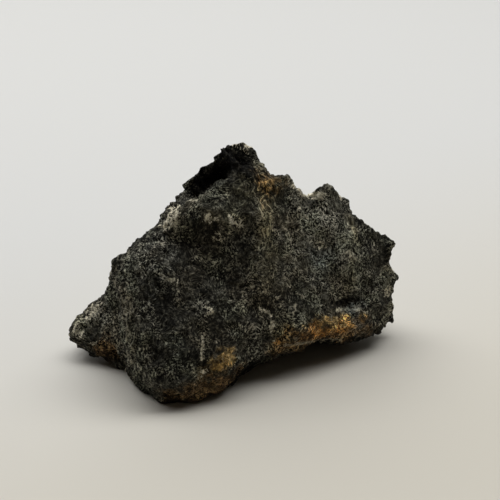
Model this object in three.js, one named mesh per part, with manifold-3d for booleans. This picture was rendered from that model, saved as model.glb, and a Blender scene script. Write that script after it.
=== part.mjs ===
// A hand-sized lump of chlorite schist, broken off a seam and left as it broke.
// Millimetres, +Z up. X runs along the stone, its broad split face looks towards -Y,
// and the origin is on the surface that it rests on, under the middle of its box.
// The stone grew as one piece, so it is one closed mesh. Its main corners are placed by hand,
// a skin of flat breaks is stretched over them, and a rough grain is raised on the skin.

import * as THREE from "three";
import { ConvexHull } from "three/addons/math/ConvexHull.js";
import { ImprovedNoise } from "three/addons/math/ImprovedNoise.js";
import { TessellateModifier } from "three/addons/modifiers/TessellateModifier.js";
import { mergeVertices } from "three/addons/utils/BufferGeometryUtils.js";
import Module from "manifold-3d";

// Driving dimensions: the finished stone's box
const LENGTH = 79.4;
const DEPTH = 41.2;
const HEIGHT = 54;

// A point deep in the stone that every corner can be seen from
const HEART = new THREE.Vector3(0, -2, 20);

// The skin's longest edge, and how far down the stone is worn flat where it rests
const GRAIN_EDGE = 2.6;
const WORN_FLAT_Z = 0;

// Corners, each [x, y, z] as the stone is set out, before it is fitted to its box

// The pointed nose that sticks out behind the left end
const NOSE = [
  [-40, 16.6, 6.3],
  [-39.2, 16.6, 8.4],
  [-38.9, 15.6, 3.6],
  [-36.4, 15.4, 9.8],
  [-33.7, 14.3, 10.8],
  [-30.8, 11.5, 14.4],
  [-34.2, 9.5, 12.5],
  [-35.1, 5.6, 11],
  [-34.6, 5.6, 6.5],
  [-37.9, 12.8, 2],
  [-36.6, 8.8, 1.1],
  [-32.6, 5.2, 0.6],
  [-30.5, 1.9, 2.1],
  [-31.5, -0.5, 12],
  [-31, 1.5, 17],
  [-36, 18.5, 3.5],
  [-35, 18.5, 8],
];

// The left end, from the shoulder down to the edge that it stands on
const LEFT_END = [
  [-32.5, 5, 22],
  [-33, 3, 27.5],
  [-32.2, 2, 31],
  [-29, 1, 33.5],
  [-32, -1, 24.5],
  [-33, -3, 13.5],
  [-28.5, -4.5, 33.7],
  [-32.6, -4.5, 27],
  [-30, -8.5, 27.5],
  [-33.8, -8, 18],
  [-31.5, -13.5, 18],
  [-34, -11, 10],
  [-32, -16.5, 10.5],
  [-32, -3.5, 2],
  [-32, -3, 5],
  [-30.5, -8, -1],
];

// The jagged crest, from the left shoulder over the peak to the knob and down to the right
const CREST = [
  [-25, 1, 37.3],
  [-20.5, 1.5, 38.5],
  [-18.2, 1.5, 41.6],
  [-15.8, 2, 42],
  [-14.3, 2, 43.2],
  [-12.6, 2.5, 44],
  [-11.2, 4, 47.3],
  [-8.7, 4, 48.2],
  [-7.2, 4, 50.1],
  [-4.1, 4, 50.7],
  [-3.5, 4, 52],
  [-2, 4, 54.1],
  [2.6, 4, 54.8],
  [5.2, 4, 54.5],
  [6.5, 3.5, 53],
  [7, 2.5, 50.8],
  [6.8, 0, 48.2],
  [7.9, -1, 47.8],
  [9, -2, 47.3],
  [11.2, -3, 47.5],
  [13.3, -3.5, 47.1],
  [14.1, -3.5, 44.4],
  [15.4, -3.5, 42.6],
  [17, -3.5, 40.1],
  [18.4, -3.5, 38.6],
  [20.1, -3.5, 38.9],
  [21.6, -3.5, 40.5],
  [23.3, -3.5, 41.4],
  [24.9, -3.5, 41.3],
  [26.5, -3.5, 40.2],
  [28.2, -3.6, 38.4],
  [29.4, -4, 37],
  [30.4, -6, 34.2],
  [33.6, -7.5, 31],
  [36, -9, 28.2],
  [39.3, -10.5, 27.2],
];

// The lip of the split face under the crest, and the foot of the dark step behind it
const LIP = [
  [-19.7, -2, 41],
  [-15.5, -2, 44],
  [-11.5, -2, 46],
  [-7.5, -2, 47],
  [-3.5, -2.5, 48.5],
  [1, -2.5, 50.5],
];
const STEP_FOOT = [
  [-14.5, 1.2, 41.6],
  [-10.5, 2, 43],
  [-6.5, 2.4, 44.6],
  [-2.5, 2.2, 46],
  [2.5, 1.8, 48],
];

// The broad split face, a low fold running down it from the peak
const SPLIT_FACE = [
  [-20.5, -4, 37.5],
  [-12, -5, 41.5],
  [-2.5, -5, 44.5],
  [3.5, -5.5, 46.5],
  [14, -7, 36.5],
  [25.5, -9.5, 32],
  [-25, -7.3, 32.5],
  [-19.5, -9, 29],
  [-10, -9, 28.5],
  [1, -11.5, 32],
  [14.5, -12, 26],
  [25.5, -13.5, 23],
  [-26, -14.6, 20.5],
  [-16, -15, 19.5],
  [-3, -17, 18],
  [9.5, -15.5, 18.5],
  [21, -15, 18],
  [31.5, -13.5, 20],
  [-26, -18.8, 11],
  [-18, -19, 11],
  [30, -15.5, 13.5],
];

// The two teeth of the right end
const TEETH = [
  [40.6, -12, 25],
  [37.8, -12, 20],
  [40.9, -13, 15.7],
  [39.2, -13.5, 13],
  [38.9, -14, 10.5],
  [39.6, -14.2, 6.6],
  [39, -14.8, 3.6],
];

// The rusty ledge along the foot of the split face, hanging clear of the ground
const LEDGE = [
  [-1.5, -18, 10],
  [3, -18, 12],
  [8.5, -17.5, 14.5],
  [16, -17, 13.8],
  [23.5, -16.5, 11.5],
  [30, -16, 10],
  [35, -15, 10],
  [-2.5, -18.8, 8.5],
  [3.5, -19.5, 9.5],
  [9, -20, 10.5],
  [16, -19.8, 9.6],
  [24, -19.2, 7.5],
  [31, -18, 7],
  [-6.3, -18.5, 5.4],
  [-3.3, -18.5, 6.1],
  [-0.1, -18.7, 6.5],
  [5, -18, 5.8],
  [10.5, -18, 6],
  [17.5, -17.8, 4.4],
  [24, -17.6, 2.6],
  [28.5, -17.4, 2.4],
  [33.5, -16.8, 4],
];

// The left foot that carries the stone, with a low brow over its front edge
const FOOT = [
  [-29, -15.5, -0.5],
  [-20.5, -20, 0.5],
  [-14, -21, 1.5],
  [-10.5, -20.5, 3.5],
  [-7, -20, 5],
  [-6.5, -19.5, 6.5],
  [-10, -19.5, 13],
  [-2, -18, 9.5],
  [-29, -19, 6.5],
  [-20.5, -21.5, 6.5],
  [-12.5, -21.5, 7.5],
];

// The underside, hollowed below the ledge
const UNDERSIDE = [
  [-26, -14, -1.5],
  [-18, -16, -1.5],
  [-8, -13, -1.5],
  [2, -12, 2],
  [4, -6, -1.5],
  [14, -11, 3.5],
  [18, -5, -1.5],
  [27, -9, 2.5],
  [30, 1, -1.5],
  [-28, -3, -1.5],
  [-20, 8, -1.5],
  [-2, 12, -1.5],
  [16, 11, -1.5],
  [-8, 0, -2],
  [10, 2, -2],
];

// The back, three broad breaks that lean in towards the crest
const BACK = [
  [-26, 12, 25],
  [-14, 10.5, 35.5],
  [-1, 9, 45],
  [11, 4, 37.5],
  [21, 1, 29],
  [17, 0, 34.5],
  [33, -1, 23],
  [-30, 17.5, 13],
  [-16, 17, 23],
  [1, 17, 28],
  [17, 13, 22],
  [31, 6, 14],
  [-30, 19, 3],
  [-10, 20, 9],
  [9, 19, 10],
  [25, 13, 7],
  [36, 0, 8],
  [37, -6, 17],
];

// Hollows and swellings on the split face, and the dark notch behind its lip. Each has its
// middle, how far it reaches along X, Y and Z, and how high it stands, with a minus sign for
// a hollow.
const SWELLINGS = [
  { at: [-11, 1.5, 44], reach: [3, 2.5, 1.8], height: -0.9 },
  { at: [-6.5, 1.8, 46], reach: [3.2, 2.5, 2], height: -1.1 },
  { at: [-2, 1.8, 48], reach: [3.2, 2.5, 2.2], height: -1.2 },
  { at: [-14, -5.5, 36.5], reach: [6, 6, 4], height: -1.2 },
  { at: [-6.5, -11, 27], reach: [6, 6, 5], height: -0.9 },
  { at: [-27, -12, 23.5], reach: [5, 5, 5], height: -1.1 },
  { at: [-2.5, -16, 20], reach: [4, 4, 4], height: -0.8 },
  { at: [18.5, -10.5, 29], reach: [2.5, 2.5, 2], height: -0.9 },
  { at: [24.2, -15.5, 13.4], reach: [3.6, 3, 1.5], height: -2.2 },
  { at: [34, -12.5, 22], reach: [3, 4, 5], height: -0.9 },
  { at: [-15, -13.5, 21.5], reach: [3.5, 3.5, 2.5], height: 0.9 },
  { at: [-6, -7, 40], reach: [4, 3, 2.5], height: 0.7 },
  { at: [26, -12, 24.5], reach: [2.2, 5, 8], height: 1.1 },
  { at: [3, -8.5, 38], reach: [2, 5, 9], height: 1 },
  { at: [0.5, -13, 25], reach: [2.4, 5, 7], height: 0.8 },
  { at: [-2.5, -8, 37], reach: [2.4, 4, 5], height: -0.7 },
  { at: [15, -18, 12], reach: [8, 4, 2], height: 0.5 },
  { at: [-21, -18, 15], reach: [5, 5, 4], height: 0.6 },
  { at: [-13.5, -19.5, 10], reach: [4, 4, 3], height: 0.6 },
];

const noise = new ImprovedNoise();

// Stretches a skin of triangles over corners that can all be seen from the heart
function stretchSkin(corners) {
  const cornerOf = new Map();
  for (const [x, y, z] of corners) {
    const corner = new THREE.Vector3(x, y, z);
    cornerOf.set(corner.clone().sub(HEART).normalize(), corner);
  }
  const hull = new ConvexHull().setFromPoints([...cornerOf.keys()]);
  const skin = [];
  for (const face of hull.faces) {
    let edge = face.edge;
    do {
      skin.push(cornerOf.get(edge.head().point));
      edge = edge.next;
    } while (edge !== face.edge);
  }
  return new THREE.BufferGeometry().setFromPoints(skin);
}

// Cuts every face down to the grain's size and joins the pieces into one indexed skin
function refine(skin) {
  const fine = new TessellateModifier(GRAIN_EDGE, 16).modify(skin);
  fine.deleteAttribute("normal");
  return mergeVertices(fine, 1e-3);
}

function neighboursOf(skin) {
  const near = Array.from({ length: skin.attributes.position.count }, () => new Set());
  const index = skin.index.array;
  for (let i = 0; i < index.length; i += 3) {
    for (let k = 0; k < 3; k++) {
      near[index[i + k]].add(index[i + ((k + 1) % 3)]);
      near[index[i + ((k + 1) % 3)]].add(index[i + k]);
    }
  }
  return near;
}

// Wears the edges round by drawing each point a share of the way to its neighbours' middle
function wear(skin, share, rounds) {
  const near = neighboursOf(skin);
  const position = skin.attributes.position;
  const at = new THREE.Vector3();
  const middle = new THREE.Vector3();
  for (let round = 0; round < rounds; round++) {
    const before = position.clone();
    for (let i = 0; i < position.count; i++) {
      middle.set(0, 0, 0);
      for (const j of near[i]) middle.add(at.fromBufferAttribute(before, j));
      middle.divideScalar(near[i].size);
      at.fromBufferAttribute(before, i).lerp(middle, share);
      position.setXYZ(i, at.x, at.y, at.z);
    }
  }
}

function grainAt(p, size) {
  return noise.noise(p.x / size, p.y / size, p.z / size);
}

// The seam's layers lie parallel to the split face. Where a break crosses them, each ends
// a little further out or in than the next.
const LAYER_NORMAL = new THREE.Vector3(0.05, -0.92, 0.38).normalize();
const LAYER_THICKNESS = 4.2;

function layerEnd(p, normal) {
  const across = 1 - Math.abs(normal.dot(LAYER_NORMAL));
  const depth = p.dot(LAYER_NORMAL) / LAYER_THICKNESS + 0.6 * grainAt(p, 14);
  const layer = Math.floor(depth);
  const outset = noise.noise(layer * 3.7, p.x / 13, p.z / 13);
  const groove = Math.min(1, 4 * Math.abs(depth - layer - 0.5)) ** 2;
  return across * (1.5 * outset - 0.35 * groove);
}

function swellingAt(p) {
  let total = 0;
  for (const { at, reach, height } of SWELLINGS) {
    const away = Math.hypot(
      (p.x - at[0]) / reach[0],
      (p.y - at[1]) / reach[1],
      (p.z - at[2]) / reach[2],
    );
    total += height * Math.exp(-away * away);
  }
  return total;
}

// How far the rough surface stands off the flat breaks
function roughness(p, normal) {
  const lumps = 0.8 * grainAt(p, 9.1) + 0.8 * grainAt(p, 4.7);
  const pits = -0.9 * Math.max(0, grainAt(p, 6.3) - 0.25);
  return lumps + pits + swellingAt(p) + layerEnd(p, normal);
}

function roughen(skin) {
  skin.computeVertexNormals();
  const { position, normal } = skin.attributes;
  const at = new THREE.Vector3();
  const out = new THREE.Vector3();
  for (let i = 0; i < position.count; i++) {
    at.fromBufferAttribute(position, i);
    out.fromBufferAttribute(normal, i);
    at.addScaledVector(out, roughness(at, out));
    position.setXYZ(i, at.x, at.y, at.z);
  }
  skin.deleteAttribute("normal");
}

const wasm = await Module();
wasm.setup();

function toSolid(geometry) {
  const bare = geometry.clone();
  for (const name of Object.keys(bare.attributes)) {
    if (name !== "position") bare.deleteAttribute(name);
  }
  const merged = mergeVertices(bare, 1e-3);
  return new wasm.Manifold(
    new wasm.Mesh({
      numProp: 3,
      vertProperties: merged.attributes.position.array,
      triVerts: new Uint32Array(merged.index.array),
    }),
  );
}

function toGeometry(solid) {
  const mesh = solid.getMesh();
  return new THREE.BufferGeometry()
    .setAttribute("position", new THREE.BufferAttribute(mesh.vertProperties, 3))
    .setIndex(new THREE.BufferAttribute(mesh.triVerts, 1));
}

// Wears the underside flat at the height of the ground
function wearFlat(skin) {
  const size = 3 * LENGTH;
  const ground = new THREE.BoxGeometry(size, size, size);
  ground.translate(0, 0, WORN_FLAT_Z - size / 2);
  return toGeometry(toSolid(skin).subtract(toSolid(ground)));
}

// Fits the stone to its driving dimensions and stands it over the origin
function fitToBox(geometry) {
  geometry.computeBoundingBox();
  const box = geometry.boundingBox;
  const size = box.getSize(new THREE.Vector3());
  const middle = box.getCenter(new THREE.Vector3());
  geometry.translate(-middle.x, -middle.y, -box.min.z);
  geometry.scale(LENGTH / size.x, DEPTH / size.y, HEIGHT / size.z);
  return geometry;
}

function makeStone() {
  const corners = [
    NOSE, LEFT_END, CREST, LIP, STEP_FOOT, SPLIT_FACE, TEETH, LEDGE, FOOT, UNDERSIDE, BACK,
  ].flat();
  const skin = refine(stretchSkin(corners));
  wear(skin, 0.5, 1);
  roughen(skin);
  const chlorite = new THREE.MeshStandardMaterial({
    color: new THREE.Color(0.045, 0.047, 0.041),
    roughness: 0.7,
    metalness: 0,
  });
  const stone = new THREE.Mesh(fitToBox(wearFlat(skin)), chlorite);
  stone.name = "chlorite_stone";
  return stone;
}

const specimen = new THREE.Group();
specimen.add(makeStone());

export default specimen;
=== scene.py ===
# %% [markdown]
# # A lump of chlorite schist
# Chlorite is a soft, flaky, green-black mineral. This lump broke off a seam of it: one broad
# face where it split, a jagged crest, a pointed left end, and a rusty ledge along the foot.
# The frame holds the solid stone. These cells give it its broken skin, its flakes and its
# stains, set it on a pale table and light it softly.

# %% Load the frame
import math

import bpy
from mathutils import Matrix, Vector, noise


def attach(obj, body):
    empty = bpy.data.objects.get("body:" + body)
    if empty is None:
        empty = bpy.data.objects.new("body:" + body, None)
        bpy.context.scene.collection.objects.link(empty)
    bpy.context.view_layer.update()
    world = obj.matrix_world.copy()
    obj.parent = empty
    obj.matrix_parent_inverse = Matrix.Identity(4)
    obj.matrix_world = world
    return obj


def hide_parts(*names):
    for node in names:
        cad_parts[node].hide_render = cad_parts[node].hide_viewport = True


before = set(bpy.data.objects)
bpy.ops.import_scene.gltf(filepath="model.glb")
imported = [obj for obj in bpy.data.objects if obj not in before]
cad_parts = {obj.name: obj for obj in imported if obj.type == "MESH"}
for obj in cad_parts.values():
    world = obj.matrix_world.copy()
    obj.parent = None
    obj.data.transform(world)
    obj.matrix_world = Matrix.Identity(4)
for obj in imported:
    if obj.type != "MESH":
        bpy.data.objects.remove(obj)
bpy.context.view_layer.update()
MM = 0.001
print("frame nodes:", sorted(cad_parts))

# %% [markdown]
# ## The camera
# The camera looks at the middle of the stone from its left front, well above the table, with
# a long lens so that the shapes hardly taper. It comes first, so that every later cell can be
# checked through it.

# %% Camera
CAMERA_AIM = Vector((-0.1, -5.9, 30.0)) * MM
CAMERA_TURN = math.radians(-28.0)
CAMERA_RISE = math.radians(27.0)
CAMERA_DISTANCE = 336.7 * MM

away = Vector((
    math.sin(CAMERA_TURN) * math.cos(CAMERA_RISE),
    -math.cos(CAMERA_TURN) * math.cos(CAMERA_RISE),
    math.sin(CAMERA_RISE),
))
camera_data = bpy.data.cameras.new("specimen_camera")
camera_data.sensor_width = 36
camera_data.lens = 100
camera = bpy.data.objects.new("specimen_camera", camera_data)
bpy.context.scene.collection.objects.link(camera)
camera.location = CAMERA_AIM + away * CAMERA_DISTANCE
camera.rotation_euler = away.to_track_quat("Z", "Y").to_euler()
bpy.context.scene.camera = camera
print("camera at", [round(c, 3) for c in camera.location])

# %% [markdown]
# ## The stone's mesh
# The frame's stone has the lumps, ledges and pits down to about two millimetres. A finer skin
# could be remeshed from scratch, but then it would drift off the solid. A copy of the solid is
# cut finer instead, so every big break stays where it is and only small ones are added.

# %% Copy the frame's stone and cut it finer
def select_only(obj):
    bpy.ops.object.select_all(action="DESELECT")
    obj.select_set(True)
    bpy.context.view_layer.objects.active = obj


cad_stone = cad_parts["chlorite_stone"]
stone = bpy.data.objects.new("schist_lump", cad_stone.data.copy())
bpy.context.scene.collection.objects.link(stone)
stone.data.materials.clear()

select_only(stone)
bpy.ops.object.mode_set(mode="EDIT")
bpy.ops.mesh.select_all(action="SELECT")
bpy.ops.mesh.remove_doubles(threshold=0.002 * MM)
bpy.ops.mesh.subdivide(number_cuts=3, smoothness=0.0)
bpy.ops.mesh.vertices_smooth(factor=0.5, repeat=3)
bpy.ops.object.mode_set(mode="OBJECT")
print("stone cut to", len(stone.data.polygons), "faces")

# %% [markdown]
# ## The broken skin
# Schist breaks into stubby blocks between thin layers. Rounds of displacement raise them, from
# knobs of three millimetres down to crumbs of one. Each round is a Displace modifier with a
# cloud or cell texture, applied before the next one, so that every round stands off the surface
# that the last one left. The worn flat underneath is left as it is, and the split face, which
# parted cleanly, gets less of the crumbs than the broken edges.

# %% Say where the skin may be raised, and by how much
FREE_GROUP = "free_of_ground"
CRUMBLY_GROUP = "crumbly_breaks"
WORN_HEIGHT = 0.15 * MM
FREE_HEIGHT = 1.6 * MM
SPLIT_DIRECTION = Vector((0.0, -0.92, 0.38)).normalized()
SPARED_ON_SPLIT = 0.7

free_group = stone.vertex_groups.new(name=FREE_GROUP)
crumbly_group = stone.vertex_groups.new(name=CRUMBLY_GROUP)
for vertex in stone.data.vertices:
    free = min(max((vertex.co.z - WORN_HEIGHT) / (FREE_HEIGHT - WORN_HEIGHT), 0.0), 1.0)
    facing = max(vertex.normal.dot(SPLIT_DIRECTION), 0.0)
    free_group.add([vertex.index], free, "REPLACE")
    crumbly_group.add([vertex.index], free * (1.0 - SPARED_ON_SPLIT * facing ** 3), "REPLACE")
print("groups:", [group.name for group in stone.vertex_groups])


# %% Raise the knobs, blocks and crumbs
def raise_skin(name, group, kind, grain, height, level=0.5, **settings):
    texture = bpy.data.textures.new(name, kind)
    texture.noise_scale = grain
    for key, value in settings.items():
        setattr(texture, key, value)
    select_only(stone)
    raised = stone.modifiers.new(name, "DISPLACE")
    raised.texture = texture
    raised.texture_coords = "LOCAL"
    raised.strength = height
    raised.mid_level = level
    raised.vertex_group = group
    bpy.ops.object.modifier_apply(modifier=raised.name)
    print("raised", name)


raise_skin("knobs", FREE_GROUP, "CLOUDS", 3.2 * MM, 1.2 * MM, level=0.22, noise_depth=3)
raise_skin("blocks", CRUMBLY_GROUP, "VORONOI", 3.6 * MM, 0.8 * MM,
           distance_metric="DISTANCE", weight_1=-1.0, weight_2=1.0, noise_intensity=1.2)
raise_skin("crumbs", CRUMBLY_GROUP, "CLOUDS", 1.8 * MM, 1.1 * MM,
           noise_depth=2, noise_type="HARD_NOISE")
raise_skin("grains", FREE_GROUP, "CLOUDS", 1.1 * MM, 0.6 * MM, noise_depth=1)

# %% [markdown]
# ## Teeth and notches
# Against a pale background the stone is known by the teeth of its crest, its shoulder and its
# right end. They could be cut into the solid, but most are smaller than its triangles. So each
# one is a soft push here: a point on the stone, a reach in millimetres, and how far the skin moves
# there. A push fades out like a bell, so it leaves no edge.

# %% Pull the teeth of the crest out and press the notches between them in
PUSH_END_SQUARED = 6.0
TEETH = {
    "peak notch": ((-3.0, 4.6, 52.1), 1.1, (0.7, -0.4, 0.0)),
    "upper tooth": ((-3.6, 4.8, 51.4), 0.9, (-0.7, 0.4, 0.0)),
    "crest step": ((-7.2, 4.4, 48.8), 1.0, (-0.5, 0.3, 0.3)),
    "crest dip": ((-10.6, 5.3, 47.2), 1.2, (0.7, -0.4, 0.0)),
    "left tooth": ((-11.7, 4.9, 45.4), 1.0, (-0.8, 0.4, 0.1)),
    "left undercut": ((-12.2, 6.2, 43.5), 1.4, (1.3, -0.7, 0.0)),
    "lower tooth": ((-15.0, 4.5, 41.4), 1.2, (-1.1, 0.6, 0.1)),
    "shoulder notch": ((-19.4, 3.9, 39.0), 1.6, (1.5, -0.8, -0.2)),
    "shoulder dip": ((-24.0, 2.9, 36.6), 1.6, (0.3, -0.5, -0.7)),
    "left shoulder": ((-31.3, 2.6, 30.8), 1.6, (-1.1, 0.6, 0.0)),
    "nose top": ((-36.4, 15.2, 10.7), 2.0, (-0.9, 0.5, 0.0)),
    "nose tip": ((-39.5, 14.1, 5.7), 2.0, (-0.9, 0.5, 0.0)),
    "nose heel": ((-37.9, 11.4, 2.6), 1.8, (1.1, -0.6, 0.0)),
    "peak dip": ((-0.3, 4.7, 53.8), 1.0, (-0.2, -0.3, -0.6)),
    "saddle start": ((12.4, -3.6, 43.8), 1.2, (0.6, 0.2, 0.9)),
    "saddle knob": ((14.7, -4.2, 40.6), 1.5, (0.3, 0.5, 1.3)),
    "saddle dip": ((19.2, -2.1, 40.4), 1.3, (-0.2, -0.4, -0.9)),
    "knob flank": ((25.8, -3.7, 37.6), 1.2, (0.6, -0.3, 0.0)),
    "right step": ((27.3, -5.0, 35.6), 1.5, (0.9, 0.0, 0.9)),
    "right brow": ((30.3, -8.0, 31.3), 1.3, (0.5, 0.0, 0.4)),
    "right tooth": ((37.1, -10.3, 25.5), 1.0, (0.2, 0.4, 0.9)),
    "right heel": ((31.4, -17.3, 5.3), 1.4, (0.3, -0.2, 0.0)),
    "saddle floor": ((16.9, -3.1, 38.7), 1.4, (0.2, 0.3, 0.7)),
    "dome left": ((20.5, -3.5, 40.2), 1.2, (-0.1, 0.4, 0.6)),
    "dome right": ((24.3, -3.7, 39.4), 1.2, (0.5, 0.0, 0.4)),
    "peak shoulder": ((4.5, 2.8, 51.8), 1.2, (0.8, -0.1, 0.35)),
    "peak left shoulder": ((-0.3, 4.0, 52.6), 1.1, (-0.1, 0.3, 0.5)),
    "crest flat": ((9.6, -3.6, 46.6), 1.8, (0.0, 0.0, -0.5)),
    "dome top": ((22.6, -3.0, 41.6), 1.0, (0.0, 0.0, -0.4)),
}

for vertex in stone.data.vertices:
    at = vertex.co / MM
    for middle, reach, push in TEETH.values():
        away_squared = (at - Vector(middle)).length_squared / reach ** 2
        if away_squared < PUSH_END_SQUARED:
            vertex.co += Vector(push) * MM * math.exp(-away_squared)
    vertex.co.z = max(vertex.co.z, 0.0)
bpy.ops.object.shade_smooth()
print("teeth and notches:", len(TEETH))

# %% Put the lump in the place of the frame's stone
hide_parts("chlorite_stone")
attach(stone, "root")

# %% [markdown]
# ## Stains, crusts, and painted light and shade
# Cream crusts, ochre, rust, olive and bluish films lie in patches whose places are part of how
# this stone looks. Darker and paler patches paint shade and light: painted shade in the hollows,
# pits and notches and on the undersides of the foot, ledge and nose, painted light on tops,
# ridges and rims, with some of the stone's own paler and darker tone among them. A few cream
# patches are painted highlights and glints. They could be drawn on a flat map, but a stone has
# no seams to hide one's edges in. So each patch is a point on the stone, a reach in millimetres
# and a strength. A reach of three numbers makes a patch longer one way than another. Two more
# sets say where the felt of flakes is coarse or fine, and where it is combed into upright
# fibres. The patches are warped by noise and painted into point attributes on the mesh, and the
# material frays the edges of the stains and crusts further. This noise has to be given a seed,
# because without one it takes a new one from the clock at each run.

# %% Cream crusts, and painted highlights and glints
CREAM_CRUST_AND_HIGHLIGHTS = {
    "shoulder top": ((-16.2, 1.6, 41.8), 2.0, 0.9),
    "shoulder edge": ((-19.0, -0.7, 40.7), 2.0, 0.8),
    "shoulder outside": ((-20.3, 0.2, 39.0), 1.6, 0.55),
    "shoulder drip": ((-18.9, -2.3, 39.0), 1.4, 0.5),
    "lip streak": ((-12.8, -1.6, 44.1), (2.4, 2.0, 1.0), 0.6),
    "left fleck": ((-10.8, -4.3, 40.4), (1.4, 2.0, 1.1), 0.8),
    "left fleck tail": ((-9.6, -5.2, 39.7), 1.0, 0.6),
    "middle fleck": ((-5.4, -6.9, 39.3), 1.4, 0.95),
    "middle fleck tail": ((-4.0, -7.1, 38.0), 1.4, 0.95),
    "faint fleck": ((-8.8, -6.4, 36.0), 1.4, 0.6),
    "saddle left": ((12.9, -3.1, 43.8), 1.7, 1.2),
    "saddle foot": ((14.7, -3.0, 41.4), 1.5, 1.1),
    "saddle bar": ((18.6, -3.2, 39.6), (2.2, 2.0, 0.9), 1.2),
    "saddle bar end": ((20.2, -3.4, 39.2), 1.3, 0.9),
    "knob foot": ((26.7, -3.3, 37.2), 1.4, 0.9),
    "peak cap": ((2.3, 4.6, 53.0), 1.5, 0.7),
    "peak cap right": ((4.4, 4.0, 52.6), 1.6, 0.7),
    "centre spot": ((-15.5, -14.5, 21.3), 1.1, 1.0),
    "centre spot top": ((-16.9, -13.6, 22.3), (1.5, 2.0, 0.8), 0.6),
    "slit sill": ((23.4, -15.2, 12.1), (3.2, 2.0, 0.8), 0.7),
    "right edge": ((35.8, -13.0, 12.6), 1.8, 0.75),
    "right edge low": ((36.0, -13.8, 7.6), 1.6, 0.5),
    "nose saddle": ((-32.4, 15.3, 13.1), 1.8, 0.4),
    "nose top": ((-34.6, 13.5, 12.0), (2.4, 3.0, 2.4), 0.85),
    "nose tip": ((-38.9, 13.6, 8.5), 1.4, 0.6),
    "nose spot": ((-36.4, 9.3, 5.9), 1.0, 0.7),
    "root fleck": ((-33.4, -2.4, 22.6), 1.4, 0.7),
    "root thread": ((-32.0, 2.0, 17.1), (1.0, 2.0, 2.6), 0.6),
    "toe fleck": ((-33.0, -7.6, 8.1), 1.2, 0.7),
    # Painted glints
    "glints": ((-22.6, -8.8, 29.0), 1.4, 0.7),
    "left comma": ((-31.2, -10.8, 20.6), 0.9, 0.8),
    "pale dot": ((9.3, -7.7, 36.5), 0.9, 0.8),
    "pale dot upper": ((13.4, -6.5, 37.6), 1.0, 0.7),
    "pale dot right": ((14.6, -7.2, 36.0), 0.8, 0.8),
    "pale dot left": ((6.1, -8.6, 36.2), 0.8, 0.6),
    "pale swirl": ((8.9, -13.4, 18.5), (1.6, 2.0, 1.6), 0.6),
    "ring top": ((17.8, -8.7, 29.6), (1.6, 2.0, 0.6), 0.7),
    "ring right": ((18.8, -9.4, 28.4), 0.8, 0.7),
    "ring foot": ((17.0, -9.2, 27.8), (1.4, 2.0, 0.7), 0.7),
    # Painted highlights on the foot
    "foot highlight": ((-13.4, -19.9, 11.0), 1.5, 0.95),
    "foot highlight low": ((-16.6, -20.3, 8.2), 0.9, 0.6),
    "foot crumbs": ((-20.0, -19.4, 8.6), 1.4, 0.75),
    "nose edge": ((-38.6, 12.6, 7.8), (1.3, 2.0, 1.5), 0.7),
    # Painted highlights on the crown of the ledge
    "ledge glow": ((18.2, -17.5, 11.8), (2.0, 2.0, 0.8), 0.85),
    "ledge glow low": ((19.9, -18.0, 9.6), (1.2, 2.0, 0.6), 0.7),
    "ledge glow left": ((13.9, -17.4, 12.4), (1.0, 2.0, 0.6), 0.65),
    "ledge drip": ((8.4, -18.4, 13.2), (0.6, 2.0, 1.4), 0.65),
    "ledge start spot": ((0.2, -18.1, 10.6), (0.6, 2.0, 1.2), 0.7),
    "end dot": ((27.5, -16.1, 10.0), 0.7, 0.9),
}
print("cream crusts:", len(CREAM_CRUST_AND_HIGHLIGHTS))

# %% Ochre and rust
OCHRE = {
    "foot patch": ((-13.6, -19.6, 10.8), 2.8, 1.0),
    "foot patch low": ((-16.2, -19.5, 9.4), 2.2, 0.7),
    "foot patch left": ((-20.2, -19.2, 7.9), 2.0, 0.35),
    "ledge start": ((1.0, -18.1, 10.0), 2.0, 0.5),
    "ledge rise": ((6.5, -18.8, 11.5), 3.0, 0.5),
    "ledge middle": ((12.6, -17.6, 11.6), (3.2, 3.0, 2.4), 0.8),
    "ledge crown": ((17.8, -17.6, 11.3), (3.0, 3.0, 1.8), 0.85),
    "ledge right": ((21.4, -17.4, 9.8), (2.6, 3.0, 2.0), 0.95),
    "ledge low": ((15.2, -18.5, 8.8), (4.5, 3.0, 2.0), 0.7),
    "ledge end": ((26.8, -16.9, 9.2), 1.4, 0.7),
}
RUST = {
    "nose root": ((-32.7, 4.9, 5.3), 3.6, 1.0),
    "nose belly": ((-35.3, 7.1, 4.6), 3.0, 0.8),
    "foot left": ((-27.2, -17.0, 2.5), 3.6, 0.8),
    "foot middle": ((-20.8, -19.4, 3.2), 4.4, 1.1),
    "foot right": ((-14.6, -19.0, 3.6), 4.0, 1.0),
    "foot end": ((-9.1, -17.5, 5.5), 3.5, 0.7),
    "flank": ((6.4, -3.0, 46.0), (5.0, 4.0, 5.0), 0.6),
    "flank knob": ((10.6, -3.9, 44.7), 3.0, 0.3),
    "ledge lip": ((10.3, -17.8, 7.4), (5.0, 4.0, 3.0), 0.7),
    "ledge start rust": ((4.2, -18.5, 11.5), 3.0, 0.6),
    "ledge left": ((1.4, -17.8, 7.8), 3.6, 0.9),
    "crest block": ((-2.5, 3.5, 51.3), 1.2, 0.6),
    "ledge under": ((10.4, -18.4, 8.4), 4.2, 1.0),
    "ledge belly": ((19.4, -18.2, 7.2), 4.2, 1.0),
    "ledge far end": ((27.4, -17.2, 6.6), 4.0, 0.6),
    "nose brow": ((-34.3, 5.6, 10.5), 2.4, 0.3),
    "flank low": ((4.6, -5.0, 43.5), (2.8, 4.0, 4.5), 0.35),
}
print("ochre and rust patches:", len(OCHRE) + len(RUST))

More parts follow.
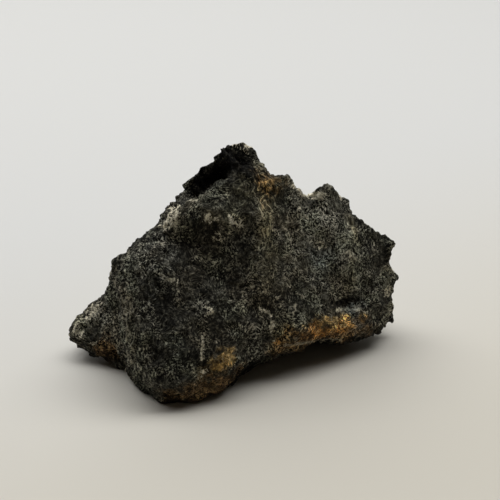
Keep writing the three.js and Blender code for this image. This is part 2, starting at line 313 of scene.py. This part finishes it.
# %% Warm films, and cool ones below nought
WARMTH = {
    "peak flank": ((5.0, 1.0, 49.6), (1.6, 4.0, 3.6), 0.2),
    "ridge top": ((3.8, -4.0, 45.8), (3.2, 5.0, 3.6), 0.55),
    "ridge": ((3.6, -7.6, 40.0), (3.0, 5.0, 5.0), 0.4),
    "ridge middle": ((2.6, -10.2, 33.0), (2.8, 5.0, 5.5), 0.4),
    "ridge low": ((0.8, -12.5, 25.5), (3.0, 5.0, 5.0), 0.4),
    "ridge foot": ((-2.1, -15.0, 18.0), (3.0, 5.0, 4.0), 0.3),
    "right streak": ((27.4, -9.5, 30.5), (1.5, 5.0, 4.5), 0.5),
    "right streak low": ((24.8, -12.8, 23.5), (1.6, 5.0, 5.0), 0.35),
    "right streak foot": ((23.2, -14.2, 17.5), (1.6, 5.0, 3.0), 0.3),
    "foot rim": ((-18.6, -19.2, 8.4), (4.5, 4.0, 1.8), 0.8),
    "ledge fringe": ((2.9, -16.8, 12.6), (4.0, 4.0, 2.0), 0.6),
    "fleck halo": ((-4.6, -7.2, 39.0), 3.0, 0.6),
    "left fleck halo": ((-10.1, -4.8, 40.2), 2.4, 0.5),
    "root green": ((-33.2, -2.0, 22.0), 1.8, 0.5),
    "ring halo": ((17.8, -9.2, 28.6), 2.0, 0.6),
    "lip warm": ((-1.6, -3.6, 45.4), 3.0, 0.4),
    "lip left warm": ((-8.4, -3.9, 43.0), 3.0, 0.3),
    "shoulder cool": ((-20.7, -5.6, 33.5), 6.0, -0.5),
    "sill cool": ((23.9, -14.8, 12.2), (4.0, 3.0, 1.6), -1.0),
    "right face cool": ((17.4, -11.0, 26.2), 4.5, -0.7),
    "notch cool": ((-5.6, -2.0, 43.0), (6.0, 3.0, 2.0), -0.5),
    "foot cool": ((-24.6, -17.0, 12.0), 4.0, -0.4),
    "left cool": ((-26.6, -9.0, 28.0), 4.5, -0.4),
}
print("warm and cool films:", len(WARMTH))

# %% Painted light and shade: paler places, and darker ones below nought
PAINTED_LIGHT_AND_SHADE = {
    # Painted shade darkens the notch under the crest, hollows, pits, the slit and the undersides of
    # the foot, ledge and nose; painted light pales tops, ridges and rims. A few patches are the
    # stone's own tone.
    "notch core": ((-2.0, 2.2, 49.1), 2.6, -0.9),
    "notch upper": ((-0.9, 0.0, 50.9), 2.2, -0.9),
    "notch middle": ((-4.4, 4.1, 46.4), 2.4, -0.8),
    "notch left": ((-7.1, 3.9, 45.0), 2.4, -0.7),
    "notch end": ((-10.2, 3.4, 44.3), 2.0, -0.6),
    "crest left": ((-11.2, 4.2, 45.8), 2.6, -0.3),
    "crest rise": ((-8.1, 4.8, 47.7), 2.2, -0.3),
    "shoulder crest": ((-16.0, 3.5, 41.6), 2.0, -0.4),
    "shoulder hollow": ((-14.7, -4.0, 36.1), 4.0, -0.25),
    "middle hollow": ((-7.1, -9.8, 27.0), 5.0, -0.25),
    "left hollow": ((-27.0, -10.4, 23.0), 4.5, -0.4),
    "ridge hollow": ((-2.7, -14.3, 19.5), 3.5, -0.4),
    "slit": ((22.6, -14.2, 14.3), (3.4, 3.0, 1.0), -0.5),
    "tooth notch": ((35.4, -12.5, 11.2), (1.2, 3.0, 0.8), -1.0),
    "foot shade": ((-23.6, -18.0, 0.6), (9.0, 6.0, 1.4), -0.6),
    "foot end shade": ((-9.6, -16.0, 2.0), (6.0, 6.0, 2.5), -0.7),
    "ledge shade": ((10.4, -17.0, 4.5), (12.0, 6.0, 2.2), -0.6),
    "ledge end shade": ((25.4, -16.5, 3.0), (8.0, 6.0, 2.2), -0.6),
    "nose belly shade": ((-36.5, 8.5, 2.0), (6.0, 6.0, 2.2), -0.5),
    "nose waist": ((-32.4, 3.7, 18.0), 2.2, -0.5),
    "nose top light": ((-35.3, 11.1, 11.7), 4.0, 0.35),
    "right face light": ((13.4, -7.0, 35.0), (10.0, 8.0, 9.0), 0.42),
    "right middle light": ((14.4, -12.0, 23.0), (13.0, 8.0, 8.0), 0.4),
    "ridge light": ((2.9, -9.0, 36.0), (3.0, 8.0, 12.0), 0.3),
    "peak flank light": ((5.4, -0.5, 48.5), (2.4, 4.0, 4.0), 0.3),
    "streak light": ((26.9, -10.0, 28.0), (1.6, 5.0, 6.0), 0.5),
    "right end light": ((35.4, -12.0, 18.0), (3.0, 5.0, 9.0), 0.5),
    "ledge light": ((12.4, -18.5, 8.5), (16.0, 4.0, 4.0), 0.28),
    "sill light": ((23.9, -14.8, 12.0), (4.0, 3.0, 1.2), 0.5),
    "root light": ((-32.0, 1.5, 17.5), (2.4, 4.0, 7.0), 0.7),
    "foot edge light": ((-33.6, -8.4, 10.5), (1.6, 3.0, 5.0), 0.5),
    "lip light": ((-5.6, -3.2, 44.6), (9.0, 3.0, 3.0), 0.3),
    "left upper light": ((-25.6, -5.0, 33.0), 4.0, 0.3),
    "streak upper light": ((26.0, -5.6, 35.4), (2.0, 4.0, 4.0), 0.5),
    "streak middle light": ((23.7, -11.2, 27.5), (2.6, 4.0, 4.5), 0.7),
    "streak low light": ((22.9, -13.4, 20.9), (2.0, 4.0, 3.0), 0.5),
    "right face patch light": ((19.1, -9.2, 29.7), 3.0, 0.5),
    "right end low light": ((35.5, -13.9, 9.9), (2.4, 4.0, 3.5), 0.3),
    "ridge middle light": ((-1.9, -11.9, 27.7), (2.4, 4.0, 4.0), 0.7),
    "ridge upper light": ((1.7, -8.5, 37.4), (1.8, 4.0, 5.5), 0.45),
    "left edge light": ((-31.9, -5.7, 25.1), (3.0, 4.0, 3.5), 0.6),
    "ledge start light": ((0.4, -17.9, 9.4), 2.6, 0.5),
    "peak tooth": ((2.3, -1.3, 49.4), 1.6, -0.9),
    "left brow": ((-24.1, -3.5, 35.2), 2.6, -0.3),
    "foot hollow": ((-20.0, -18.2, 11.2), 3.0, -0.35),
    "right rim": ((35.9, -11.0, 22.5), (1.8, 4.0, 3.5), -0.5),
    "bevel light": ((-18.6, -19.5, 4.0), (8.0, 3.0, 2.0), 0.35),
    "notch right": ((1.6, -0.7, 49.8), 2.0, -1.3),
    "peak dark": ((1.9, 3.0, 50.8), 2.6, -0.8),
    "peak dark left": ((0.2, 3.9, 52.2), 2.0, -0.7),
    "ledge pit": ((13.9, -18.6, 10.6), 0.9, -1.0),
    "nose brow shade": ((-34.3, 5.6, 10.5), 2.6, -0.3),
    "centre light": ((-9.0, -10.0, 29.0), (6.0, 6.0, 6.0), 0.15),
    "foot patch light": ((-13.2, -19.8, 10.9), 2.4, 0.6),
    "far rim light": ((27.0, -17.3, 6.3), (5.0, 3.0, 2.0), 0.35),
    "foot pit": ((-31.2, -17.6, 8.1), 1.6, -0.6),
    "foot slot": ((-22.8, -18.3, 12.0), (2.0, 2.0, 0.7), -0.9),
    "foot slot right": ((-18.9, -18.6, 10.9), 1.0, -0.7),
    "ridge edge left": ((-3.6, -8.8, 35.0), (2.2, 5.0, 8.0), -0.2),
}
print("painted light and shade patches:", len(PAINTED_LIGHT_AND_SHADE))

# %% Coarse felt, finer felt below nought, and upright fibres
COARSE = {
    "right face upper": ((18.2, -8.1, 33.5), 6.0, 0.9),
    "right face middle": ((22.2, -11.3, 26.0), 7.0, 1.0),
    "right face foot": ((24.0, -13.5, 18.0), 6.0, 0.8),
    "ridge side": ((2.7, -8.2, 39.7), 3.5, 0.7),
    "ledge start": ((-0.7, -17.4, 8.0), 4.0, 0.8),
    "left edge": ((-31.6, -2.5, 28.0), (4.5, 6.0, 5.0), 1.0),
    "root": ((-33.0, 3.5, 14.5), (3.0, 6.0, 7.0), 1.2),
    "left foot": ((-33.0, -11.8, 10.3), (5.0, 6.0, 6.0), 1.0),
    "foot front": ((-20.0, -20.0, 4.8), (9.0, 5.0, 2.6), -0.9),
    "crest": ((0.0, 0.0, 49.0), (9.0, 6.0, 4.5), -0.7),
    "flank": ((6.6, -2.4, 46.8), (4.0, 4.0, 4.0), -1.2),
    "lip": ((-6.0, -5.0, 41.5), (6.0, 4.0, 4.0), -0.7),
    "middle": ((-14.8, -10.8, 25.1), 4.5, -0.5),
    "low middle": ((-25.1, -15.7, 16.8), 4.0, -0.6),
    "right rim": ((35.9, -10.7, 24.9), 3.5, -0.6),
    "cool patch": ((19.5, -11.5, 24.0), 3.0, -0.7),
    "foot patch": ((-14.5, -19.8, 10.0), 3.5, -0.9),
    "ledge": ((14.0, -18.0, 8.0), (10.0, 4.0, 4.0), -0.6),
}
FIBRES = {
    "ridge top": ((3.8, -4.0, 45.8), (4.0, 5.0, 5.0), 0.8),
    "ridge": ((3.6, -7.6, 40.0), (3.5, 5.0, 6.0), 0.8),
    "ridge middle": ((2.6, -10.2, 33.0), (3.0, 5.0, 6.0), 0.6),
    "ridge foot": ((0.5, -14.0, 22.0), (3.0, 5.0, 6.0), 0.4),
    "streak": ((26.0, -9.0, 30.0), (3.0, 5.0, 7.0), 0.9),
    "streak low": ((24.0, -13.0, 20.0), (3.0, 5.0, 6.0), 0.8),
    "right end": ((33.0, -13.0, 18.0), (4.0, 5.0, 6.0), 0.5),
    "root": ((-33.0, -4.0, 21.0), (3.0, 5.0, 6.0), 0.8),
    "left foot edge": ((-33.0, -10.0, 10.0), (4.0, 7.0, 9.0), 1.0),
}
print("felt and fibre patches:", len(COARSE) + len(FIBRES))

# %% Warp the patches and paint them onto the mesh
WARP_GRAIN = 2.6
WARP_REACH = 1.3
WARP_SEED = 1
PATCH_END = 2.5
LOWEST_STRENGTH = -1.0
HIGHEST_STRENGTH = 1.2

noise.seed_set(WARP_SEED)
warped_places = []
for vertex in stone.data.vertices:
    at = vertex.co / MM
    warped_places.append(at + WARP_REACH * noise.noise_vector(at / WARP_GRAIN))


def paint(name, patches):
    strengths = [0.0] * len(warped_places)
    for middle, reach, strength in patches.values():
        middle = Vector(middle)
        reach = Vector(reach if isinstance(reach, tuple) else (reach, reach, reach))
        for i, at in enumerate(warped_places):
            off = at - middle
            if abs(off.x) > PATCH_END * reach.x or abs(off.z) > PATCH_END * reach.z:
                continue
            squared = (off.x / reach.x) ** 2 + (off.y / reach.y) ** 2 + (off.z / reach.z) ** 2
            strengths[i] += strength * math.exp(-squared)
    layer = stone.data.attributes.new(name, "FLOAT", "POINT")
    kept = [min(max(strength, LOWEST_STRENGTH), HIGHEST_STRENGTH) for strength in strengths]
    layer.data.foreach_set("value", kept)
    print("painted", name)


paint("cream_crust_and_highlights", CREAM_CRUST_AND_HIGHLIGHTS)
paint("ochre", OCHRE)
paint("rust", RUST)
paint("warmth", WARMTH)
paint("shade", PAINTED_LIGHT_AND_SHADE)
paint("coarse", COARSE)
paint("fibres", FIBRES)

# %% [markdown]
# ## The chlorite material
# Up close the stone is a felt of tiny flakes: their edges catch the light and the gaps between
# them are black. Colour and bump could each have a pattern of their own, but then light edges
# would fall into dark gaps. One pattern of tone does both jobs instead. It drives the bump, and
# it sets the colour: the flakes' own dark warm grey, with painted shade that makes the gaps
# black and painted light that makes the edges grey, so the two always agree. Sparse pale grains
# with painted glints, and broad drifts of brown and green, lie over it.

# %% A small helper for building the material's nodes
chlorite = bpy.data.materials.new("chlorite_felt")
chlorite.use_nodes = True
tree = chlorite.node_tree
tree.nodes.clear()


def add(kind, inputs=None, **settings):
    node = tree.nodes.new(kind)
    for key, value in settings.items():
        setattr(node, key, value)
    for key, value in (inputs or {}).items():
        if isinstance(value, bpy.types.NodeSocket):
            tree.links.new(value, node.inputs[key])
        else:
            node.inputs[key].default_value = value
    return node


def maths(operation, a, b=0.0, c=0.0):
    return add("ShaderNodeMath", {0: a, 1: b, 2: c}, operation=operation).outputs[0]


def between(value, low, high, to_low=0.0, to_high=1.0):
    limits = {"From Min": low, "From Max": high, "To Min": to_low, "To Max": to_high}
    node = add("ShaderNodeMapRange", {"Value": value, **limits}, interpolation_type="SMOOTHSTEP")
    return node.outputs["Result"]


def mix(share, one, other, how="MIX"):
    colours = {
        6: one if isinstance(one, bpy.types.NodeSocket) else (*one, 1.0),
        7: other if isinstance(other, bpy.types.NodeSocket) else (*other, 1.0),
    }
    node = add("ShaderNodeMix", {0: share, **colours}, data_type="RGBA", blend_type=how)
    return node.outputs[2]


def painted(name):
    return add("ShaderNodeAttribute", attribute_name=name).outputs["Fac"]


def noise_at(where, scale, detail=3.0, roughness=0.6, distortion=0.0):
    return add("ShaderNodeTexNoise", {
        "Vector": where, "Scale": scale, "Detail": detail,
        "Roughness": roughness, "Distortion": distortion,
    }).outputs["Fac"]


# %% Measure the pattern in millimetres, and let the flakes swirl
SWIRL_SCALE = 0.16
SWIRL_REACH = 5.0


def vector_maths(operation, inputs, output="Vector"):
    return add("ShaderNodeVectorMath", inputs, operation=operation).outputs[output]


def stirred(where, scale, reach):
    stir = add("ShaderNodeTexNoise", {"Vector": where, "Scale": scale, "Detail": 2.0})
    centred = vector_maths("SUBTRACT", {0: stir.outputs["Color"], 1: (0.5, 0.5, 0.5)})
    return vector_maths("MULTIPLY_ADD", {0: centred, 1: (reach, reach, reach), 2: where})


object_place = add("ShaderNodeTexCoord").outputs["Object"]
place = vector_maths("SCALE", {0: object_place, "Scale": 1 / MM})
swirled = stirred(place, SWIRL_SCALE, SWIRL_REACH)
print("nodes so far:", len(tree.nodes))


# %% The felt of flakes
def strands(squeeze, scale, lines, low, high):
    stretched = add("ShaderNodeMapping", {"Vector": swirled, "Scale": squeeze})
    level = noise_at(stretched.outputs["Vector"], scale, 2.0, 0.55, 0.4)
    return between(maths("PINGPONG", maths("MULTIPLY", level, lines), 0.5), low, high)


# shade holds painted light above nought and painted shade below it
shade = painted("shade")
warmth = painted("warmth")
fibres = painted("fibres")
coarse_level = maths("MULTIPLY_ADD", painted("coarse"), 0.16, noise_at(place, 0.26, 2.0))
coarse = between(coarse_level, 0.38, 0.64)

fine_grain = between(noise_at(swirled, 2.1, 2.0, 0.75), 0.38, 0.62, -0.5, 0.5)
middling_grain = between(noise_at(swirled, 0.95, 3.0, 0.7), 0.37, 0.63)
broad_grain = between(noise_at(place, 0.24, 4.0, 0.65), 0.34, 0.66)
upright_strands = strands((1.0, 1.0, 0.14), 0.55, 4.6, 0.26, 0.5)
tangled_strands = strands((1.0, 1.0, 0.8), 0.45, 5.0, 0.32, 0.5)
fine_strands = strands((1.0, 1.0, 0.7), 0.6, 3.4, 0.28, 0.5)
level_strands = strands((0.25, 1.0, 1.2), 0.8, 5.0, 0.30, 0.5)
print("nodes so far:", len(tree.nodes))

# %% Add the grains and strands up to one tone
TONE_BASE = 0.18
DARKEST_SHADE = -0.6

coarse_share = between(coarse, 0.0, 1.0, 0.19, 0.80)
fine_share = maths("MULTIPLY", coarse_share, between(fibres, 0.0, 1.0, 1.0, 0.5))
tone = maths("MULTIPLY_ADD", fine_grain, fine_share, TONE_BASE)
tone = maths("MULTIPLY_ADD", middling_grain, 0.20, tone)
tone = maths("MULTIPLY_ADD", broad_grain, 0.15, tone)
tone = maths("MULTIPLY_ADD", fine_strands, between(coarse, 0.0, 1.0, 0.13, 0.24), tone)
tone = maths("MULTIPLY_ADD", upright_strands, between(fibres, 0.0, 1.0, 0.05, 0.44), tone)
tone = maths("MULTIPLY_ADD", fibres, -0.08, tone)
tone = maths("MULTIPLY_ADD", level_strands, between(painted("rust"), 0.0, 1.0, 0.0, 0.22), tone)
tone = maths("MULTIPLY_ADD", tangled_strands, 0.12, tone)
# Painted light and shade raise or lower the tone
tone = maths("MULTIPLY_ADD", maths("MAXIMUM", shade, DARKEST_SHADE), 0.26, tone)
print("nodes so far:", len(tree.nodes))

# %% Painted shade in the black gaps, painted light on the warm grey flake edges
SHADED_GAP_STOP = (0.12, (0.0038, 0.0036, 0.0030))
FELT_STOPS = (
    (0.28, (0.0112, 0.0108, 0.0086)),
    (0.40, (0.031, 0.030, 0.0236)),
    (0.50, (0.065, 0.0625, 0.049)),
    (0.62, (0.135, 0.130, 0.102)),
    (0.78, (0.285, 0.274, 0.215)),
)
LIT_FLAKE_EDGE_STOP = (1.0, (0.60, 0.57, 0.45))

# The ramp is the flakes' own colour in the middle, painted shade at the dark end and painted light
# at the pale end
felt_tone_and_shade_ramp = add("ShaderNodeValToRGB", {"Fac": tone})
stops = felt_tone_and_shade_ramp.color_ramp.elements
for stop, (position, colour) in zip(stops, (SHADED_GAP_STOP, LIT_FLAKE_EDGE_STOP)):
    stop.position = position
    stop.color = (*colour, 1.0)
for position, colour in FELT_STOPS:
    stop = stops.new(position)
    stop.color = (*colour, 1.0)
stone_colour = felt_tone_and_shade_ramp.outputs["Color"]
print("stops in the ramp:", len(stops))

# %% Sparse pale grains, with painted glints
PALE_GRAIN_AND_GLINT_COLOUR = (0.34, 0.32, 0.25)

grain_cells = add("ShaderNodeTexVoronoi", {"Vector": place, "Scale": 0.62})
grain_luck = add("ShaderNodeSeparateColor", {"Color": grain_cells.outputs["Color"]}).outputs[0]
grain_size = between(grain_luck, 0.5, 1.0, 0.0, 0.2)
# Pale grains that also paint the glints of the flakes
pale_grain_and_glint = between(maths("SUBTRACT", grain_size, grain_cells.outputs["Distance"]), 0.0, 0.08)
stone_colour = mix(maths("MULTIPLY", pale_grain_and_glint, 0.6), stone_colour, PALE_GRAIN_AND_GLINT_COLOUR)
print("nodes so far:", len(tree.nodes))

# %% Drifts of brown and green, warm and cool films, and deep painted shade
BROWN_DRIFT_TINT = (1.10, 0.92, 0.72)
GREEN_DRIFT_TINT = (0.88, 1.0, 0.90)
WARM_FILM_TINT = (1.42, 1.26, 0.88)
COOL_FILM_TINT = (0.92, 1.06, 1.30)
DEEP_SHADE_TINT = (0.40, 0.38, 0.36)

brown_drift = maths("MULTIPLY", between(noise_at(place, 0.09, 2.0), 0.45, 0.62), 0.3)
stone_colour = mix(brown_drift, stone_colour, BROWN_DRIFT_TINT, "MULTIPLY")
green_drift = maths("MULTIPLY", between(noise_at(swirled, 0.13, 2.0), 0.46, 0.62), 0.4)
stone_colour = mix(green_drift, stone_colour, GREEN_DRIFT_TINT, "MULTIPLY")
stone_colour = mix(between(warmth, 0.0, 1.0), stone_colour, WARM_FILM_TINT, "MULTIPLY")
stone_colour = mix(between(warmth, 0.0, -1.0), stone_colour, COOL_FILM_TINT, "MULTIPLY")
# Painted shade: below nought the colour is multiplied darker still
stone_colour = mix(between(shade, 0.0, -1.0), stone_colour, DEEP_SHADE_TINT, "MULTIPLY")
print("nodes so far:", len(tree.nodes))

# %% [markdown]
# ## Thin threads, lit rims and the slit
# Hair-thin cream threads run over the stone, and a slit is open low on the right, dark inside
# with painted shade. Two pale threads paint light along the ledge's lower rim. The points of the
# mesh are too far apart to paint lines this thin, and strips of mesh laid on the stone would look
# stuck on. So the material measures each thread: how far a place is from the straight line
# between two points, with some wobble. Depth counts for little in it, because the broken skin
# stands off that line by a millimetre or more. Each thread says which way it faces, where it
# starts and ends, its half width in millimetres, and its strength.

# %% Where the threads run
CREAM_AND_LIT_THREADS = {
    "foot stroke": ("face", (-18.5, -16.7, 15.2), (-19.7, -18.5, 11.2), 0.3, 1.0),
    "foot dot": ("face", (-18.1, -16.1, 15.9), (-18.1, -16.2, 15.8), 0.4, 1.0),
    "fleck arch": ("face", (-2.4, -15.2, 18.7), (-0.2, -15.3, 17.6), 0.42, 1.0),
    "fleck arch end": ("face", (-0.2, -15.3, 17.6), (0.3, -15.8, 16.6), 0.34, 0.9),
    "fleck tail": ("face", (0.2, -16.7, 15.1), (-0.4, -17.2, 13.4), 0.5, 0.85),
    "face dash": ("face", (7.3, -16.0, 17.8), (6.0, -16.8, 16.2), 0.3, 0.9),
    "face curve": ("face", (8.2, -14.4, 20.2), (10.1, -15.0, 18.7), 0.16, 0.55),
    "shoulder drip": ("face", (-17.6, -1.6, 41.8), (-18.4, -2.6, 39.6), 0.4, 0.8),
    "shoulder drip end": ("face", (-18.4, -2.6, 39.6), (-18.2, -2.9, 38.6), 0.3, 0.7),
    "sill": ("face", (18.9, -16.0, 13.4), (26.0, -15.4, 11.3), 0.5, 1.0),
    "sill end": ("face", (25.0, -15.0, 12.1), (26.6, -15.0, 12.2), 0.3, 0.8),
    "root strand": ("edge", (-33.0, -3.6, 23.9), (-33.8, -8.9, 16.9), 0.3, 0.35),
    "edge strand": ("edge", (-34.2, -10.4, 15.2), (-33.3, -12.8, 10.1), 0.2, 0.4),
    "saddle bar": ("face", (16.6, -2.4, 39.9), (20.4, -4.1, 39.5), 0.6, 1.0),
    # Painted light: the ledge's lower rim, lit from the table in front
    "ledge rim": ("face", (2.9, -18.2, 8.8), (10.5, -18.2, 7.6), 0.35, 0.3),
    "ledge rim right": ("face", (10.5, -18.2, 7.6), (19.5, -17.4, 5.4), 0.35, 0.3),
}
SLIT_SHADE_THREADS = {
    # Painted shade inside the open slit
    "slit": ("face", (19.4, -15.5, 14.7), (23.2, -14.4, 14.3), 0.7, 0.9),
    "slit end": ("face", (23.2, -14.4, 14.3), (25.9, -14.2, 13.6), 0.5, 0.9),
}
print("threads:", len(CREAM_AND_LIT_THREADS), "cream and", len(SLIT_SHADE_THREADS), "dark")

# %% Press the stone's points flat along each facing
FACINGS = {"face": SPLIT_DIRECTION, "edge": Vector((-0.9, -0.4, 0.1)).normalized()}
DEPTH_LEFT = 0.15
WOBBLE_SCALE = 1.1
WOBBLE_REACH = 1.2

wobbly_place = stirred(place, WOBBLE_SCALE, WOBBLE_REACH)


def pressed_flat(facing):
    depth = vector_maths("DOT_PRODUCT", {0: wobbly_place, 1: facing}, "Value")
    taken = vector_maths("SCALE", {0: facing, "Scale": depth})
    share = (DEPTH_LEFT - 1.0,) * 3
    return vector_maths("MULTIPLY_ADD", {0: taken, 1: share, 2: wobbly_place})


flat_places = {name: pressed_flat(facing) for name, facing in FACINGS.items()}
print("facings:", list(flat_places))


# %% Measure each thread, and paint shade into the slit
SLIT_SHADE_TINT = (0.10, 0.10, 0.10)
THREAD_OUTSIDE = 1.4
THREAD_INSIDE = 0.6


def flat_point(point, facing):
    point = Vector(point)
    return point - (1.0 - DEPTH_LEFT) * point.dot(FACINGS[facing]) * FACINGS[facing]


def thread(facing, start, end, half_width, strength):
    flat_start = flat_point(start, facing)
    along = flat_point(end, facing) - flat_start
    off = vector_maths("SUBTRACT", {0: flat_places[facing], 1: flat_start})
    reached = vector_maths("DOT_PRODUCT", {0: off, 1: along / along.length_squared}, "Value")
    reached = add("ShaderNodeClamp", {"Value": reached}).outputs["Result"]
    nearest = vector_maths("SCALE", {0: along, "Scale": reached})
    distance = vector_maths("DISTANCE", {0: off, 1: nearest}, "Value")
    ragged = maths("MULTIPLY_ADD", fine_grain, -half_width, distance)
    return between(ragged, half_width * THREAD_OUTSIDE, half_width * THREAD_INSIDE, 0.0, strength)


# Painted shade darkens the slit
for slit_shade_thread in SLIT_SHADE_THREADS.values():
    stone_colour = mix(thread(*slit_shade_thread), stone_colour, SLIT_SHADE_TINT, "MULTIPLY")
print("nodes so far:", len(tree.nodes))

# %% [markdown]
# ## Rust, ochre, cream crust and painted highlights
# Rust soaks in and only tints the flakes under it. Ochre is a thin earthy coat that hides most
# of them, and the cream crust covers them all. The same cream paints the highlights and glints
# among the crust patches. Drawn as they are painted, the patches would have smooth, sprayed
# edges. So noise is multiplied into each one before it is cut off at a level, which gives it the
# torn edge and the small islands of a real crust.


# %% Rust and ochre
def frayed(name, grain, fray, low, high):
    level = maths("SUBTRACT", noise_at(swirled, grain, 3.0, 0.7), 0.5)
    ragged = maths("MULTIPLY_ADD", level, fray, 1.0)
    return between(maths("MULTIPLY", ragged, painted(name)), low, high)


RUST_TINT = (1.35, 0.92, 0.58)
OCHRE_BASE = (0.20, 0.20, 0.20)
OCHRE_BROWN = (1.5, 1.0, 0.45)
OCHRE_YELLOW = (4.0, 2.95, 1.5)

rust_share = frayed("rust", 0.6, 3.0, 0.15, 0.9)
stone_colour = mix(rust_share, stone_colour, RUST_TINT, "MULTIPLY")
ochre_share = frayed("ochre", 0.8, 4.0, 0.25, 0.85)
ochre_tint = mix(between(noise_at(place, 0.5, 3.0), 0.40, 0.62), OCHRE_BROWN, OCHRE_YELLOW)
ochre_grain = mix(1.0, mix(0.10, stone_colour, OCHRE_BASE), ochre_tint, "MULTIPLY")
stone_colour = mix(ochre_share, stone_colour, ochre_grain)
print("nodes so far:", len(tree.nodes))

# %% Cream crust, painted highlights and threads
DULL_CRUST_AND_HIGHLIGHT = (0.22, 0.20, 0.14)
PALE_CRUST_AND_HIGHLIGHT = (0.95, 0.88, 0.68)
THICK_CRUST_AND_HIGHLIGHT = (0.95, 0.90, 0.74)
OCHRE_CRUST_AND_HIGHLIGHT_TINT = (1.0, 0.78, 0.46)
CRUST_COOL_TINT = (0.72, 0.80, 0.90)

# The same cream paints the crusts, the painted highlights and glints, and the lit rims
crust_and_highlight_share = frayed("cream_crust_and_highlights", 1.1, 9.0, 0.52, 0.66)
for pale_thread in CREAM_AND_LIT_THREADS.values():
    crust_and_highlight_share = maths("MAXIMUM", crust_and_highlight_share, thread(*pale_thread))
crust_and_highlight_grain = between(noise_at(place, 1.5, 3.0, 0.7), 0.36, 0.60)
crust_and_highlight_colour = mix(crust_and_highlight_grain, DULL_CRUST_AND_HIGHLIGHT, PALE_CRUST_AND_HIGHLIGHT)
thick_share = between(painted("cream_crust_and_highlights"), 0.7, 1.2, 0.0, 0.6)
crust_and_highlight_colour = mix(thick_share, crust_and_highlight_colour, THICK_CRUST_AND_HIGHLIGHT)
crust_ochre = between(painted("ochre"), 0.2, 0.9)
crust_and_highlight_colour = mix(crust_ochre, crust_and_highlight_colour, OCHRE_CRUST_AND_HIGHLIGHT_TINT, "MULTIPLY")
crust_and_highlight_colour = mix(between(warmth, 0.0, -1.0), crust_and_highlight_colour, CRUST_COOL_TINT, "MULTIPLY")
stone_colour = mix(crust_and_highlight_share, stone_colour, crust_and_highlight_colour)
print("nodes so far:", len(tree.nodes))

# %% Bump and finish
height = maths("MULTIPLY_ADD", crust_and_highlight_share, 0.3, tone)
bump = add("ShaderNodeBump", {"Strength": 0.8, "Distance": 0.6 * MM, "Height": height})
finish = add("ShaderNodeBsdfPrincipled", {
    "Base Color": stone_colour,
    "Roughness": between(middling_grain, 0.0, 1.0, 0.85, 0.6),
    "Normal": bump.outputs["Normal"],
})
finish.inputs["Specular IOR Level"].default_value = 0.08
add("ShaderNodeOutputMaterial", {"Surface": finish.outputs["BSDF"]})
stone.data.materials.append(chlorite)
print("material nodes:", len(tree.nodes))

# %% [markdown]
# ## The table and the light
# The stone stands on a pale table. A small lamp would give hard black shadows, so two large soft
# lights do the work: a long one above and a little behind, for the crest, the ledges and the
# table, and a broad one far behind. The split face leans away from both, so it stays dim, and
# the shadow is a soft pool under the overhang and in front of the stone. The world adds a faint
# warm glow, as the walls of a room do.

# %% Table
TABLE_SIZE = 6.0
TABLE_NEAR_COLOUR = (0.63, 0.60, 0.522)
TABLE_FAR_COLOUR = (0.63, 0.63, 0.612)

bpy.ops.object.select_all(action="DESELECT")
bpy.ops.mesh.primitive_plane_add(size=TABLE_SIZE, location=(0, 0, 0))
table = bpy.context.active_object
table.name = "table_top"
table_paper = bpy.data.materials.new("pale_table")
table_paper.use_nodes = True
tree = table_paper.node_tree
table_finish = tree.nodes["Principled BSDF"]
table_place = add("ShaderNodeTexCoord").outputs["Object"]
table_depth = add("ShaderNodeSeparateXYZ", {"Vector": table_place}).outputs["Y"]
# The table is warmer and a little darker towards the camera
table_colour = mix(between(table_depth, -0.08, 0.10), TABLE_NEAR_COLOUR, TABLE_FAR_COLOUR)
tree.links.new(table_colour, table_finish.inputs["Base Color"])
table_finish.inputs["Roughness"].default_value = 0.8
table.data.materials.append(table_paper)
print("table:", TABLE_SIZE, "m across")


# %% Lights
LIGHT_AIM = Vector((0.0, 0.0, 0.02))


def soft_light(name, place_m, length, width, watts):
    data = bpy.data.lights.new(name, "AREA")
    data.shape = "RECTANGLE"
    data.size = length
    data.size_y = width
    data.energy = watts
    lamp = bpy.data.objects.new(name, data)
    lamp.location = place_m
    aim = LIGHT_AIM - Vector(place_m)
    lamp.rotation_euler = aim.to_track_quat("-Z", "Y").to_euler()
    bpy.context.scene.collection.objects.link(lamp)
    print("lit", name)


soft_light("overhead_softbox", (0.12, 0.215, 0.8), 1.5, 0.42, 9.0)
soft_light("back_window", (0.0, 1.1, 0.75), 2.3, 0.9, 8.6)

# %% The glow of the room
GLOW_COLOUR = (1.0, 0.84, 0.66)
GLOW_STRENGTH = 0.034

world = bpy.data.worlds.new("pale_room")
world.use_nodes = True
glow = world.node_tree.nodes["Background"]
glow.inputs["Color"].default_value = (*GLOW_COLOUR, 1.0)
glow.inputs["Strength"].default_value = GLOW_STRENGTH
bpy.context.scene.world = world
bpy.context.scene.view_settings.view_transform = "Standard"
print("room glow:", GLOW_STRENGTH)
